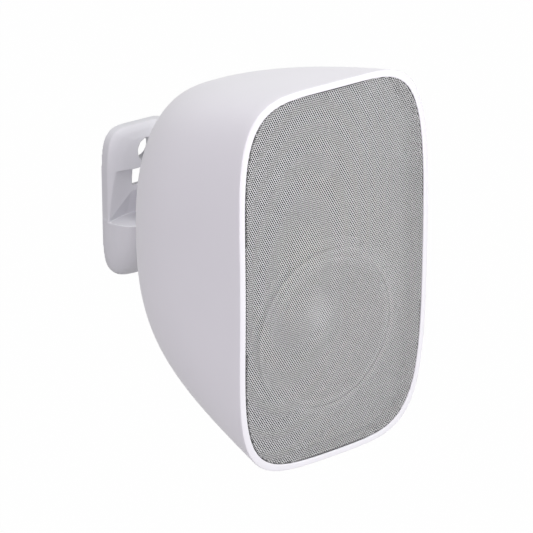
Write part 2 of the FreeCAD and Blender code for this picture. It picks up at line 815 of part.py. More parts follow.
def make_woofer_motor():
    top = -s.basket_depth
    gap_outer = s.coil_radius + s.coil_gap
    pole = s.coil_radius - s.coil_wall - s.coil_gap
    plate_low = top - s.plate_wall
    magnet_low = plate_low - s.magnet_wall
    at_woofer("woofer_top_plate", tube("TopPlate", gap_outer, s.plate_radius, plate_low, top))
    at_woofer("woofer_magnet", tube("Magnet", s.magnet_bore, s.magnet_radius, magnet_low, plate_low))
    back = turned_body(
        "PolePlate",
        (
            (0, magnet_low - s.plate_wall),
            (s.plate_radius, magnet_low - s.plate_wall),
            (s.plate_radius, magnet_low),
            (pole, magnet_low),
            (pole, top),
            (0, top),
        ),
    )
    at_woofer("woofer_pole_plate", back)


def make_driver_screws():
    for label, places in (
        ("woofer_screws", woofer_screw_places()),
        ("tweeter_screws", tweeter_screw_places()),
    ):
        screws = []
        for index, (x, y) in enumerate(places):
            at = (x, y, baffle_face)
            screws.append(driver_screw(f"{label}{index}", at))
        node(label, group(label + "Group", *screws))


# Tweeter, drawn about its own axis with z = 0 at the baffle's face


def at_tweeter(label, body):
    node(label, body, (0, s.tweeter_height, baffle_face))


def make_tweeter():
    back = -s.flange_wall
    face = turned_body(
        "Faceplate",
        (
            (s.tweeter_flange, back),
            (s.tweeter_flange, 0),
            (s.guide_mouth, 0),
            (s.guide_throat, back + s.guide_lip),
            (s.guide_throat, back),
        ),
    )
    holes = []
    radius = s.tweeter_flange - s.driver_head - s.guide_lip
    for index, (x, y) in enumerate(ring_places(TWEETER_SCREWS, radius, as_size(0), 90)):
        holes.append(cylinder(f"FaceHole{index}", s.driver_screw, FAR, (x, y, -FAR / 2)))
    at_tweeter("tweeter_faceplate", cut("FaceplateDone", face, *holes))
    motor_top = back - s.dome_sheet
    gap_outer = s.dome_radius + s.coil_gap
    pole = s.dome_radius - s.dome_sheet - s.coil_gap
    gap_floor = motor_top - s.dome_coil - LEAD
    motor = turned_body(
        "TweeterMotor",
        (
            (0, motor_top - s.motor_depth),
            (s.motor_radius, motor_top - s.motor_depth),
            (s.motor_radius, motor_top),
            (gap_outer, motor_top),
            (gap_outer, gap_floor),
            (pole, gap_floor),
            (pole, motor_top),
            (0, motor_top),
        ),
    )
    at_tweeter("tweeter_motor", motor)
    inner = s.dome_radius - s.dome_sheet
    crown = back + s.dome_rise
    dome = turned_body(
        "Dome",
        (
            (0, crown),
            (dome_centre(s.dome_radius, back, crown), (s.dome_radius, back)),
            (s.dome_radius, back - s.dome_coil),
            (inner, back - s.dome_coil),
            (inner, back),
            (dome_centre(inner, back, crown - s.dome_sheet), (0, crown - s.dome_sheet)),
        ),
    )
    at_tweeter("tweeter_dome", dome)
    ring = tube("DomeSurround", s.dome_radius, s.motor_radius, motor_top, back)
    at_tweeter("tweeter_surround", ring)


# Crossover on the back of the baffle

board_front = baffle_rear - s.post_length
board_rear = board_front - s.board_wall


def make_crossover():
    low = (-s.board_width / 2, s.board_level - s.board_height / 2, board_rear)
    high = (s.board_width / 2, s.board_level + s.board_height / 2, board_front)
    holes = []
    screws = []
    for index, (x, y) in enumerate(board_posts()):
        holes.append(cylinder(f"BoardHole{index}", s.driver_screw, FAR, (x, y, board_front - FAR / 2)))
        at = (x, y, board_rear)
        screws.append(driver_screw(f"BoardScrew{index}", at, BACKWARDS))
    node("crossover_board", cut("BoardDone", box("Board", low, high), *holes))
    node("crossover_screws", group("BoardScrews", *screws))
    coils = []
    capacitors = []
    for way in (-1, 1):
        side = "Left" if way < 0 else "Right"
        flange = s.winding_flange
        waist = s.winding_radius - s.winding_step
        bobbin = turned_body(
            f"Winding{side}",
            (
                (0, -s.winding_length),
                (s.winding_radius, -s.winding_length),
                (s.winding_radius, flange - s.winding_length),
                (waist, flange - s.winding_length),
                (waist, -flange),
                (s.winding_radius, -flange),
                (s.winding_radius, 0),
                (0, 0),
            ),
        )
        place = (way * (s.winding_radius + s.winding_gap), s.board_level, board_rear)
        coils.append(put(bobbin, place))
        reach = s.board_width / 2 - s.post_inset * 2 - s.capacitor_radius
        can = cylinder(
            f"Capacitor{side}",
            s.capacitor_radius,
            s.capacitor_length,
            (way * reach, s.board_level - s.capacitor_length / 2, board_rear - s.capacitor_radius),
            ALONG_Y,
        )
        capacitors.append(can)
    node("crossover_coils", group("Coils", *coils))
    node("crossover_capacitors", group("Capacitors", *capacitors))


# Terminals and yoke on the cabinet's back


def make_terminals():
    half_width, half_height, middle = terminal_opening(as_size(0))
    plate_low = s.wall_gap - s.terminal_plate
    flange = box(
        "TerminalFlange",
        (-s.terminal_width / 2, middle - s.terminal_height / 2, plate_low),
        (s.terminal_width / 2, middle + s.terminal_height / 2, s.wall_gap),
    )
    body = box(
        "TerminalBody",
        (-half_width, middle - half_height, plate_low - s.terminal_rise),
        (half_width, middle + half_height, s.wall_gap + s.terminal_body),
    )
    wells = []
    screws = []
    well = s.terminal_screw + s.seat_gap
    seat = plate_low - s.terminal_rise / 2
    shank = s.terminal_screw / 2
    for way in (-1, 1):
        x = way * s.terminal_pitch / 2
        side = "Left" if way < 0 else "Right"
        wells.append(cylinder(f"TerminalWell{side}", well, FAR, (x, middle, seat - FAR)))
        wells.append(cylinder(f"TerminalBore{side}", shank, s.terminal_body, (x, middle, seat)))
        name = f"TerminalScrew{side}"
        at = (x, middle, seat)
        screws.append(screw(name, at, s.terminal_screw, s.screw_cap, shank, s.terminal_body, BACKWARDS))
    node("terminal_block", cut("TerminalDone", fuse("TerminalWhole", flange, body), *wells))
    node("terminal_screws", group("TerminalScrews", *screws))


tilt_height = s.back_lift
tilt_z = s.wall_gap - s.tilt_reach
ear_inner = s.barrel_width / 2 + s.washer_wall
ear_outer = ear_inner + s.ear_wall


def make_yoke():
    plate_low = s.wall_gap - s.yoke_wall
    half_width = s.yoke_width / 2
    half_height = s.yoke_height / 2
    plate = box(
        "YokePlate",
        (-half_width, tilt_height - half_height, plate_low),
        (half_width, tilt_height + half_height, s.wall_gap),
    )
    rounded = doc.addObject("Part::Fillet", "YokeRounded")
    rounded.Base = plate
    doc.recompute()
    upright = [
        index
        for index, edge in enumerate(plate.Shape.Edges, start=1)
        if abs(edge.tangentAt(edge.FirstParameter).z) > 0.9
    ]
    rounded.Edges = [(index, s.yoke_corner.value, s.yoke_corner.value) for index in upright]
    ears = []
    holes = []
    for way in (-1, 1):
        side = "Left" if way < 0 else "Right"
        start = ear_inner if way > 0 else -ear_outer
        ears.append(
            cylinder(f"EarRound{side}", s.ear_radius, s.ear_wall, (start, tilt_height, tilt_z), ALONG_X)
        )
        low = (start, tilt_height - s.ear_radius, tilt_z)
        high = (start + s.ear_wall, tilt_height + s.ear_radius, s.wall_gap)
        ears.append(box(f"EarWeb{side}", low, high))
    width = 2 * ear_outer + LEAD
    holes.append(cylinder("EarBore", s.tilt_radius, width, (-width / 2, tilt_height, tilt_z), ALONG_X))
    for index, (x, y) in enumerate(yoke_screw_places()):
        holes.append(cylinder(f"YokePlateHole{index}", s.screw_radius, FAR, (x, y, plate_low - FAR / 2)))
    node("mount_yoke", cut("YokeDone", fuse("YokeWhole", rounded, *ears), *holes))
    screws = []
    for index, (x, y) in enumerate(yoke_screw_places()):
        at = (x, y, plate_low)
        screws.append(case_screw(f"YokeScrew{index}", at, BACKWARDS))
    node("yoke_screws", group("YokeScrews", *screws))


# Two-axis swivel

ledge = -s.ledge_drop
foot_low = ledge + s.washer_wall
foot_top = foot_low + s.foot_height


def make_arm():
    foot = cylinder("ArmFoot", s.foot_radius, s.foot_height, (0, foot_low, s.pan_reach), ALONG_Y)
    barrel = cylinder(
        "ArmBarrel", s.barrel_radius, s.barrel_width, (-s.barrel_width / 2, tilt_height, tilt_z), ALONG_X
    )
    shoulder = s.pan_reach + s.pan_head + s.head_gap
    neck = side_prism(
        "ArmNeck",
        (
            (foot_low, s.pan_reach),
            (foot_low, s.pan_reach + s.foot_radius),
            (tilt_height - s.barrel_radius, tilt_z),
            (tilt_height, tilt_z + s.barrel_radius / 2),
            (tilt_height + s.barrel_radius * 0.9, tilt_z - s.barrel_radius * 0.4),
            (foot_top, shoulder),
            (foot_top, s.pan_reach),
        ),
        s.neck_width,
    )
    pan_bore = cylinder("PanBore", s.pan_radius + s.running_gap, FAR, (0, -FAR / 2, s.pan_reach), ALONG_Y)
    tilt_bore = cylinder(
        "TiltBore", s.tilt_radius + s.running_gap, FAR, (-FAR / 2, tilt_height, tilt_z), ALONG_X
    )
    node("swivel_arm", cut("ArmDone", fuse("ArmWhole", foot, barrel, neck), pan_bore, tilt_bore))


def ring_body(name, inner, outer, height, at, turn):
    return put(tube(name, inner, outer, as_size(0), height), at, turn)


def hex_nut(name, bore, corner):
    """Nut whose face against the clamped piece is at z = 0."""
    block = prism(name + "Block", corner, s.nut_height, (0, 0, -s.nut_height))
    hole = cylinder(name + "Bore", bore, s.nut_height + 2 * LEAD, (0, 0, -s.nut_height - LEAD))
    return cut(name, block, hole)


def hex_bolt(name, shank, corner, length):
    """Bolt whose head stands on z = 0 and whose shank points down."""
    head = prism(name + "Head", corner, s.bolt_cap, (0, 0, 0))
    return fuse(name, head, cylinder(name + "Shank", shank, length + s.bolt_cap / 2, (0, 0, -length)))


def make_bolts():
    washer_bore = s.pan_radius + s.running_gap
    washer = tube("PanWasher", washer_bore, s.foot_radius, as_size(0), s.washer_wall)
    node("pan_washer", washer, (0, ledge, s.pan_reach), ALONG_Y)
    nut_top = ledge - s.nut_roof
    shank = foot_top - nut_top + s.nut_height
    pan_bolt = hex_bolt("PanBolt", s.pan_radius, s.pan_head, shank)
    node("pan_bolt", pan_bolt, (0, foot_top, s.pan_reach), ALONG_Y)
    pan_nut = hex_nut("PanNut", s.pan_radius, s.nut_pocket - s.nut_gap)
    node("pan_nut", pan_nut, (0, nut_top, s.pan_reach), ALONG_Y)
    washers = []
    for way in (-1, 1):
        start = s.barrel_width / 2 if way > 0 else -ear_inner
        name = "TiltWasherRight" if way > 0 else "TiltWasherLeft"
        bore = s.tilt_radius + s.running_gap
        at = (start, tilt_height, tilt_z)
        washers.append(ring_body(name, bore, s.barrel_radius, s.washer_wall, at, ALONG_X))
    node("tilt_washers", group("TiltWashers", *washers))
    reach = 2 * ear_outer + s.nut_height
    tilt_bolt = hex_bolt("TiltBolt", s.tilt_radius, s.tilt_radius * 2, reach)
    node("tilt_bolt", tilt_bolt, (ear_outer, tilt_height, tilt_z), ALONG_X)
    tilt_nut = hex_nut("TiltNut", s.tilt_radius, s.tilt_radius * 2)
    node("tilt_nut", tilt_nut, (-ear_outer, tilt_height, tilt_z), ALONG_X)


# Wall bracket


def notch_level():
    """Back of the notch from the wall, at the window's lower edge."""
    rise = (s.window_low - ledge) / (s.notch_top - ledge)
    return s.ledge_depth + (s.notch_depth - s.ledge_depth) * rise


def trough(name, half_width):
    """Wedge that deepens the notch from the window's lower edge down to the ledge."""
    top_depth = notch_level()
    inner = s.window_width / 2
    front_z = s.bracket_depth + LEAD
    sections = []
    for y, outer, outer_z, inner_z in (
        (ledge, half_width, s.ledge_depth, s.trough_depth),
        (s.window_low, inner + s.nut_gap, top_depth, top_depth),
    ):
        half = ((outer, front_z), (outer, outer_z), (inner, inner_z))
        mirrored = tuple((-x, z) for x, z in reversed(half))
        corners = [FreeCAD.Vector(x.value, y.value, z.value) for x, z in half + mirrored]
        section = doc.addObject("Part::Feature", f"{name}Section{len(sections)}")
        section.Shape = Part.makePolygon(corners + corners[:1])
        sections.append(section)
    feature = loft(name, sections)
    feature.Ruled = True
    return feature


def make_bracket():
    half_width = s.bracket_width / 2
    half_height = s.bracket_height / 2
    centre = -s.bracket_drop
    notch = side_prism(
        "BracketNotch",
        (
            (s.notch_top, s.notch_depth),
            (ledge, s.ledge_depth),
            (ledge, FAR),
            (s.notch_top, FAR),
        ),
        as_size(FAR),
    )
    recess = trough("BracketTrough", half_width)
    rim = []
    for z in (as_size(0), s.bracket_side):
        name = f"RimSection{len(rim)}"
        _, inset, squareness = PILLOW_SECTIONS[0]
        rim.append(oval(name, half_width - inset, half_height - inset, centre, squareness, z))
    pillow = []
    for share, inset, squareness in PILLOW_SECTIONS:
        name = f"PillowSection{len(pillow)}"
        z = s.bracket_side + (s.plate_depth - s.bracket_side) * share
        pillow.append(oval(name, half_width - inset, half_height - inset, centre, squareness, z))
    below = box("BelowPillow", (-FAR, -FAR, -FAR), (FAR, ledge + SEAM_RISE, FAR))
    upper = cut("BracketUpper", fuse("PillowWhole", loft("Rim", rim), loft("Pillow", pillow)), below, notch, recess)
    block = [oval("BlockFoot", half_width, half_height, centre, BLOCK_SECTIONS[0][-1], as_size(0))]
    for share, across, along, fall, squareness in BLOCK_SECTIONS:
        name = f"BlockSection{len(block)}"
        z = s.bracket_side + (s.bracket_depth - s.bracket_side) * share
        lift = centre + (s.bracket_drop - s.crown_drop) * fall
        block.append(oval(name, half_width - across, half_height - along, lift, squareness, z))
    above = box("AboveBlock", (-FAR, ledge + SEAM_RISE, -FAR), (FAR, FAR, FAR))
    lower = cut("BracketLower", loft("Block", block), above, notch, recess)
    tools = []
    tools.append(cylinder("CableHole", s.cable_hole, FAR, (0, s.cable_height, -FAR / 2)))
    window = doc.addObject("Part::Fillet", "Window")
    window.Base = box(
        "WindowBlank",
        (-s.window_width / 2, s.window_low, -LEAD),
        (s.window_width / 2, s.window_high, s.bracket_depth),
    )
    corner = s.window_corner.value
    window.Edges = [(edge, corner, corner) for edge in BOX_UPRIGHT_EDGES]
    tools.append(window)
    pocket = s.window_width / 2 + s.window_wall
    tools.append(
        box(
            "WindowPocket",
            (-pocket, s.window_low - s.window_wall, -LEAD),
            (pocket, s.window_high + s.window_wall, notch_level() - s.window_wall),
        )
    )
    for way in (-1, 1):
        side = "Left" if way < 0 else "Right"
        x = way * s.wall_screw_pitch / 2
        y = -s.wall_screw_drop
        tools.append(cylinder(f"WallScrewHole{side}", s.wall_screw, FAR, (x, y, -FAR / 2)))
        tools.append(cylinder(f"WallScrewWell{side}", s.wall_screw_well, FAR, (x, y, s.wall_screw_floor)))
    nut_top = ledge - s.nut_roof
    tools.append(cylinder("PanHole", s.pan_radius, FAR, (0, ledge - FAR / 2, s.pan_reach), ALONG_Y))
    tools.append(cylinder("NutPocket", s.nut_pocket, FAR, (0, nut_top - FAR, s.pan_reach), ALONG_Y))
    node("wall_bracket", cut("BracketDone", fuse("BracketWhole", upper, lower), *tools))


def check_features():
    for feature in doc.Objects:
        if "Invalid" in feature.State or "Error" in feature.State:
            raise RuntimeError(f"{feature.Name} ({feature.Label}) failed: {feature.State}")
    for label, feature in nodes.items():
        if feature.Shape.isNull() or not feature.Shape.isValid() or not feature.Shape.Solids:
            raise RuntimeError(f"{label} has no valid shape")


def write_parts():
    os.makedirs("parts", exist_ok=True)
    for label, feature in nodes.items():
        feature.Shape.exportStep(f"parts/{label}.step")
        print(f"{label}: {len(feature.Shape.Solids)} solids, {feature.Shape.Volume / 1000:.2f} cm3")


outer_form = egg("Outer", as_size(0))
inner_form = egg("Inner", s.shell_wall + s.grille_gap)
make_cabinet(outer_form)
make_baffle(inner_form)
make_grille(inner_form)
make_case_screws()
make_basket()
make_woofer_moving_parts()
make_woofer_suspension()
make_woofer_motor()
make_driver_screws()
make_tweeter()
make_crossover()
make_terminals()
make_yoke()
make_arm()
make_bolts()
make_bracket()
doc.recompute()
check_features()
write_parts()
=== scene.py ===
import math

import bmesh
import bpy
from mathutils import Matrix, Vector


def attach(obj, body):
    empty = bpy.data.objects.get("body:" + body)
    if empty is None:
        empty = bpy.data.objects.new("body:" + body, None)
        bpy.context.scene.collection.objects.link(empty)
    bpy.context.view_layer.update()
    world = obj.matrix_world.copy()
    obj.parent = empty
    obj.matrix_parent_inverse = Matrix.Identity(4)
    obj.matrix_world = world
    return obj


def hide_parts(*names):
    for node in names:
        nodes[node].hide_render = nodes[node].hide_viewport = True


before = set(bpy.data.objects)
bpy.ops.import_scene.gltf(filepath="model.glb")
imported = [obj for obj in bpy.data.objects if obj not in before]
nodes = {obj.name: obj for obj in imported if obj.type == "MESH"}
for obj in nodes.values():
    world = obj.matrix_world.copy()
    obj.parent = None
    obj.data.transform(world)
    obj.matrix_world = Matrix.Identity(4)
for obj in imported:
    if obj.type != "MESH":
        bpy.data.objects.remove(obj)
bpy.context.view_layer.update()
mm = 0.001
weldReach = 1e-6  # metres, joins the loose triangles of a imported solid
print("frame loaded:", len(nodes), "nodes")


# camera, solved from the photograph's outline

cameraSet = {
    "azimuth": -38.535,
    "elevation": 22.422,
    "distance": 2043.3,
    "aside": -50.24,  # along the picture's right
    "above": 6.42,  # along the picture's up
    "lens": 204.2,
    "sensor": 36.0,
    "clip": (0.05, 60.0),
    "aim": (0.0, -233.0, 10.6),  # crown of the front
}


def makeCamera(c):
    a = math.radians(c["azimuth"])
    e = math.radians(c["elevation"])
    back = Vector((math.sin(a) * math.cos(e), -math.cos(a) * math.cos(e), math.sin(e)))
    right = Vector((math.cos(a), math.sin(a), 0))
    up = back.cross(right)
    place = Vector(c["aim"]) + back * c["distance"] + right * c["aside"] + up * c["above"]
    data = bpy.data.cameras.new("photoCamera")
    data.lens = c["lens"]
    data.sensor_width = c["sensor"]
    data.clip_start, data.clip_end = c["clip"]
    cam = bpy.data.objects.new("photoCamera", data)
    turn = Matrix((right, up, back)).transposed()
    cam.matrix_world = Matrix.Translation(place * mm) @ turn.to_4x4()
    bpy.context.scene.collection.objects.link(cam)
    bpy.context.scene.camera = cam


makeCamera(cameraSet)
print("camera placed")


# finishes

finishSet = {
    "blotchDetail": 4.0,
    "grainDetail": 2.0,
    "rampEnds": (0.3, 0.7),
}


def nodeTree(name):
    mat = bpy.data.materials.new(name)
    mat.use_nodes = True
    tree = mat.node_tree
    shader = tree.nodes["Principled BSDF"]
    coords = tree.nodes.new("ShaderNodeTexCoord")
    return mat, tree, shader, coords.outputs["Object"]


def noiseOf(tree, coords, scale, detail):
    noise = tree.nodes.new("ShaderNodeTexNoise")
    noise.inputs["Scale"].default_value = scale
    noise.inputs["Detail"].default_value = detail
    tree.links.new(coords, noise.inputs["Vector"])
    return noise.outputs["Fac"]


def rampOf(tree, fac, low, high):
    ramp = tree.nodes.new("ShaderNodeValToRGB")
    for stop, position, colour in zip(ramp.color_ramp.elements, finishSet["rampEnds"], (low, high)):
        stop.position = position
        stop.color = (*colour, 1)
    tree.links.new(fac, ramp.inputs["Fac"])
    return ramp.outputs["Color"]


def rangeOf(tree, fac, low, high):
    span = tree.nodes.new("ShaderNodeMapRange")
    span.inputs["To Min"].default_value = low
    span.inputs["To Max"].default_value = high
    tree.links.new(fac, span.inputs["Value"])
    return span.outputs["Result"]


def bumpOf(tree, shader, height, strength, distance):
    bump = tree.nodes.new("ShaderNodeBump")
    bump.inputs["Strength"].default_value = strength
    bump.inputs["Distance"].default_value = distance
    tree.links.new(height, bump.inputs["Height"])
    tree.links.new(bump.outputs["Normal"], shader.inputs["Normal"])


def grainFinish(name, f):
    mat, tree, shader, coords = nodeTree(name)
    blotch = noiseOf(tree, coords, f["blotch"], finishSet["blotchDetail"])
    grain = noiseOf(tree, coords, f["grain"], finishSet["grainDetail"])
    tree.links.new(rampOf(tree, blotch, f["low"], f["high"]), shader.inputs["Base Color"])
    tree.links.new(rangeOf(tree, grain, *f["rough"]), shader.inputs["Roughness"])
    bumpOf(tree, shader, grain, f["bump"], f["depth"])
    shader.inputs["Metallic"].default_value = f.get("metal", 0.0)
    shader.inputs["Sheen Weight"].default_value = f.get("sheen", 0.0)
    return mat


def waveFinish(name, f):
    mat, tree, shader, coords = nodeTree(name)
    wave = tree.nodes.new("ShaderNodeTexWave")
    wave.bands_direction = f["way"]
    wave.inputs["Scale"].default_value = f["scale"]
    wave.inputs["Distortion"].default_value = f.get("wander", 0.0)
    tree.links.new(coords, wave.inputs["Vector"])
    tree.links.new(rampOf(tree, wave.outputs["Fac"], f["low"], f["high"]), shader.inputs["Base Color"])
    grain = noiseOf(tree, coords, f["grain"], finishSet["grainDetail"])
    tree.links.new(rangeOf(tree, grain, *f["rough"]), shader.inputs["Roughness"])
    bumpOf(tree, shader, wave.outputs["Fac"], f["bump"], f["depth"])
    shader.inputs["Metallic"].default_value = f.get("metal", 0.0)
    return mat


grainFinishes = {
    "cabinetWhite": dict(low=(0.80, 0.785, 0.83), high=(0.83, 0.815, 0.86), blotch=9, grain=1500,
                         rough=(0.36, 0.46), bump=0.12, depth=0.00006),
    # bracket white: coloured darker than the cabinet's white, as painted shade from the cabinet beside it
    "bracketWhitePaintedShade": dict(low=(0.680, 0.678, 0.710), high=(0.710, 0.708, 0.740), blotch=14, grain=1500,
                         rough=(0.50, 0.60), bump=0.12, depth=0.00006),
    "grilleWhite": dict(low=(0.81, 0.81, 0.815), high=(0.85, 0.85, 0.855), blotch=20, grain=5000,
                        rough=(0.45, 0.60), bump=0.10, depth=0.00003),
    "mountWhite": dict(low=(0.76, 0.755, 0.79), high=(0.80, 0.795, 0.83), blotch=30, grain=2600,
                       rough=(0.42, 0.55), bump=0.25, depth=0.00008),
    # black moulding of the baffle, tweeter faceplate and terminal block; on the grille's skirt the same
    # black is painted shade
    "blackMouldingAndPaintedShade": dict(low=(0.018, 0.018, 0.019), high=(0.030, 0.030, 0.032), blotch=40, grain=2200,
                          rough=(0.48, 0.66), bump=0.3, depth=0.0001),
    "basketBlack": dict(low=(0.020, 0.020, 0.021), high=(0.035, 0.035, 0.037), blotch=60, grain=3000,
                        rough=(0.30, 0.42), bump=0.15, depth=0.00006),
    "zincSteel": dict(low=(0.56, 0.56, 0.57), high=(0.66, 0.66, 0.66), blotch=220, grain=3800,
                      rough=(0.24, 0.40), bump=0.1, depth=0.00004, metal=1.0),
    "screwBlack": dict(low=(0.016, 0.016, 0.017), high=(0.030, 0.030, 0.031), blotch=240, grain=3400,
                       rough=(0.34, 0.48), bump=0.1, depth=0.00004),
    "ferriteGrey": dict(low=(0.050, 0.050, 0.053), high=(0.085, 0.085, 0.088), blotch=90, grain=1800,
                        rough=(0.60, 0.80), bump=0.4, depth=0.00015),
    "conePulp": dict(low=(0.055, 0.055, 0.058), high=(0.095, 0.095, 0.098), blotch=260, grain=1600,
                     rough=(0.62, 0.80), bump=0.5, depth=0.0002, sheen=0.1),
    "rollRubber": dict(low=(0.050, 0.050, 0.051), high=(0.070, 0.070, 0.071), blotch=70, grain=2600,
                       rough=(0.32, 0.42), bump=0.08, depth=0.00004),
    "capSatin": dict(low=(0.060, 0.060, 0.063), high=(0.090, 0.090, 0.093), blotch=120, grain=2400,
                     rough=(0.30, 0.40), bump=0.08, depth=0.00004),
    "boardGreen": dict(low=(0.015, 0.10, 0.035), high=(0.025, 0.15, 0.05), blotch=160, grain=2400,
                       rough=(0.28, 0.40), bump=0.2, depth=0.00005),
    "sleeveBlue": dict(low=(0.012, 0.020, 0.085), high=(0.018, 0.030, 0.12), blotch=90, grain=1500,
                       rough=(0.20, 0.32), bump=0.08, depth=0.00004),
    "terminalBrass": dict(low=(0.62, 0.44, 0.16), high=(0.74, 0.54, 0.22), blotch=240, grain=3400,
                          rough=(0.22, 0.36), bump=0.1, depth=0.00004, metal=1.0),
    "nylonPale": dict(low=(0.60, 0.59, 0.56), high=(0.68, 0.67, 0.64), blotch=120, grain=2600,
                      rough=(0.40, 0.55), bump=0.1, depth=0.00004),
}
waveFinishes = {
    "coilCopper": dict(way="Y", scale=900, low=(0.42, 0.16, 0.06), high=(0.72, 0.34, 0.16),
                       grain=2200, rough=(0.25, 0.40), bump=0.6, depth=0.0002, metal=1.0),
    "spiderCloth": dict(way="DIAGONAL", scale=420, low=(0.30, 0.21, 0.08), high=(0.46, 0.34, 0.15),
                        wander=1.5, grain=1800, rough=(0.65, 0.85), bump=0.5, depth=0.0002),
    "domeCloth": dict(way="DIAGONAL", scale=900, low=(0.030, 0.030, 0.034), high=(0.060, 0.060, 0.066),
                      wander=0.8, grain=3000, rough=(0.50, 0.70), bump=0.4, depth=0.0001),
}
finishes = {name: grainFinish(name, f) for name, f in grainFinishes.items()}
finishes.update({name: waveFinish(name, f) for name, f in waveFinishes.items()})
print("finishes made:", len(finishes))


# shared helpers


def addObject(name, data):
    obj = bpy.data.objects.new(name, data)
    bpy.context.scene.collection.objects.link(obj)
    return obj


def newPiece(name, mesh, finish, body, slot, *replaced):
    piece = addObject(name, mesh)
    mesh.materials.clear()
    mesh.materials.append(finishes[finish])
    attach(piece, body)
    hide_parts(*replaced)


def bridge(build, lower, upper):
    for k in range(len(lower)):
        n = (k + 1) % len(lower)
        build.faces.new((lower[k], lower[n], upper[n], upper[k]))


def meshOf(build, name):
    mesh = bpy.data.meshes.new(name)
    build.to_mesh(mesh)
    build.free()
    return mesh


def mergedCopy(node):
    build = bmesh.new()
    build.from_mesh(nodes[node].data)
    bmesh.ops.remove_doubles(build, verts=build.verts, dist=weldReach)
    return build


def plainMesh(obj, name):
    bpy.context.view_layer.update()
    graph = bpy.context.evaluated_depsgraph_get()
    mesh = bpy.data.meshes.new_from_object(obj.evaluated_get(graph))
    mesh.name = name
    return mesh


def smoothAll(mesh):
    mesh.polygons.foreach_set("use_smooth", [True] * len(mesh.polygons))


# cabinet: the moulded shell, its rounded rim and its inside

cabinetSet = {
    "front": (82.5, 137.5),  # half width and half height
    "back": (31.0, 75.0),
    "depth": 164.0,
    "gap": 69.0,  # wall to the flat back
    "drop": 10.6,  # bracket's centre below the front's centre
    "lift": 3.0,
    "sideFullness": 5.155,
    "sideRound": 1.846,
    "topRound": 2.079,
    "squareFront": 4.85,
    "squareBack": 2.155,
    "land": 5.3,
    "wall": 4.5,
    "bowAcross": 671.0,
    "bowAlong": 1716.0,
    "edgeRound": 0.6,
    "innerRound": 0.4,
    "around": 192,
    "rows": 56,
    "rowEase": 1.9,  # rows closer together towards the back
    "turns": 5,  # steps round an edge
    "capRings": (0.97, 0.9, 0.7, 0.4),
    "floorRoom": 1.0,  # last inner row to the inner floor
    "edgeReach": 0.2,  # furthest share at which the side meets the front
    "edgeSteps": 40,
}


def bowAt(x, y, setback=0.0):
    c = cabinetSet
    ring = c["bowAlong"] - c["bowAcross"] + math.sqrt(c["bowAcross"] ** 2 - x * x)
    return c["gap"] + c["depth"] - setback - c["bowAlong"] + math.sqrt(ring * ring - y * y)


def ovalPoint(halfWidth, halfHeight, power, angle):
    across, up = math.cos(angle), math.sin(angle)
    reach = (abs(across) ** power + abs(up) ** power) ** (-1 / power)
    return halfWidth * across * reach, halfHeight * up * reach


def section(share):
    c = cabinetSet
    rest = 1 - share
    side = (1 - share ** c["sideFullness"]) ** (1 / c["sideRound"])
    halfWidth = c["back"][0] + (c["front"][0] - c["back"][0]) * side
    halfHeight = c["back"][1] + (c["front"][1] - c["back"][1]) * rest ** (1 / c["topRound"])
    power = c["squareFront"] * rest + c["squareBack"] * share
    z = c["gap"] + c["depth"] * rest - c["land"] * rest * rest
    return halfWidth, halfHeight, c["lift"] * share, power, z


def ringAngles(count):
    # closer together along the short sides of the front
    halfWidth, halfHeight = cabinetSet["front"]
    angles = []
    for k in range(count):
        t = 2 * math.pi * k / count
        angles.append(math.atan2(halfHeight * math.sin(t), halfWidth * math.cos(t)))
    return angles


def sidePoint(share, angle, inset=0.0):
    halfWidth, halfHeight, lift, power, z = section(share)
    x, y = ovalPoint(halfWidth - inset, halfHeight - inset, power, angle)
    return x, y + lift, z


def edgeShare(angle, sink):
    # where the side meets the bowed front, sink below it
    low, high = 0.0, cabinetSet["edgeReach"]
    for _ in range(cabinetSet["edgeSteps"]):
        middle = (low + high) / 2
        x, y, z = sidePoint(middle, angle)
        if z > bowAt(x, y) - sink:
            low = middle
        else:
            high = middle
    return high


def makeCabinet():
    c = cabinetSet
    angles = ringAngles(c["around"])
    edges = [edgeShare(a, c["edgeRound"]) for a in angles]
    build = bmesh.new()

    def ring(points):
        return [build.verts.new((x * mm, -z * mm, (y + c["drop"]) * mm)) for x, y, z in points]

    def sideRing(step, inset):
        return ring([sidePoint(e + (1 - e) * step, a, inset) for e, a in zip(edges, angles)])

    def rimRing(inset, sink):
        flat = [sidePoint(e, a, inset) for e, a in zip(edges, angles)]
        return ring([(x, y, bowAt(x, y) - sink) for x, y, z in flat])

    steps = [1 - (1 - k / c["rows"]) ** c["rowEase"] for k in range(c["rows"] + 1)]
    rings = [sideRing(step, 0.0) for step in reversed(steps)]  # back to front
    turns = c["turns"]
    for k in range(1, turns + 1):
        a = math.pi / 2 * k / turns
        rings.append(rimRing(c["edgeRound"] * (1 - math.cos(a)), c["edgeRound"] * (1 - math.sin(a))))
    for k in range(turns + 1):
        a = math.pi / 2 * k / turns
        inset = c["wall"] - c["innerRound"] + c["innerRound"] * math.sin(a)
        rings.append(rimRing(inset, c["innerRound"] * (1 - math.cos(a))))
    floor = c["gap"] + c["wall"]
    for step in steps[1:]:
        if section(step)[4] > floor + c["floorRoom"]:
            rings.append(sideRing(step, c["wall"]))
    for lower, upper in zip(rings, rings[1:]):
        bridge(build, lower, upper)
    for edge, level in ((rings[0], c["gap"]), (rings[-1], floor)):
        previous = edge
        for scale in c["capRings"]:
            points = [(v.co.x / mm * scale, (v.co.z / mm - c["drop"] - c["lift"]) * scale + c["lift"], level)
                      for v in edge]
            inner = ring(points)
            bridge(build, previous, inner)
            previous = inner
        build.faces.new(previous)
    bmesh.ops.recalc_face_normals(build, faces=build.faces)
    mesh = meshOf(build, "cabinetShell")
    smoothAll(mesh)
    newPiece("cabinetShell", mesh, "cabinetWhite", "speaker", "white_shell", "cabinet")


makeCabinet()
print("cabinet made")


# grille: punched sheet, one web tile instanced on a staggered grid and bent to the bow

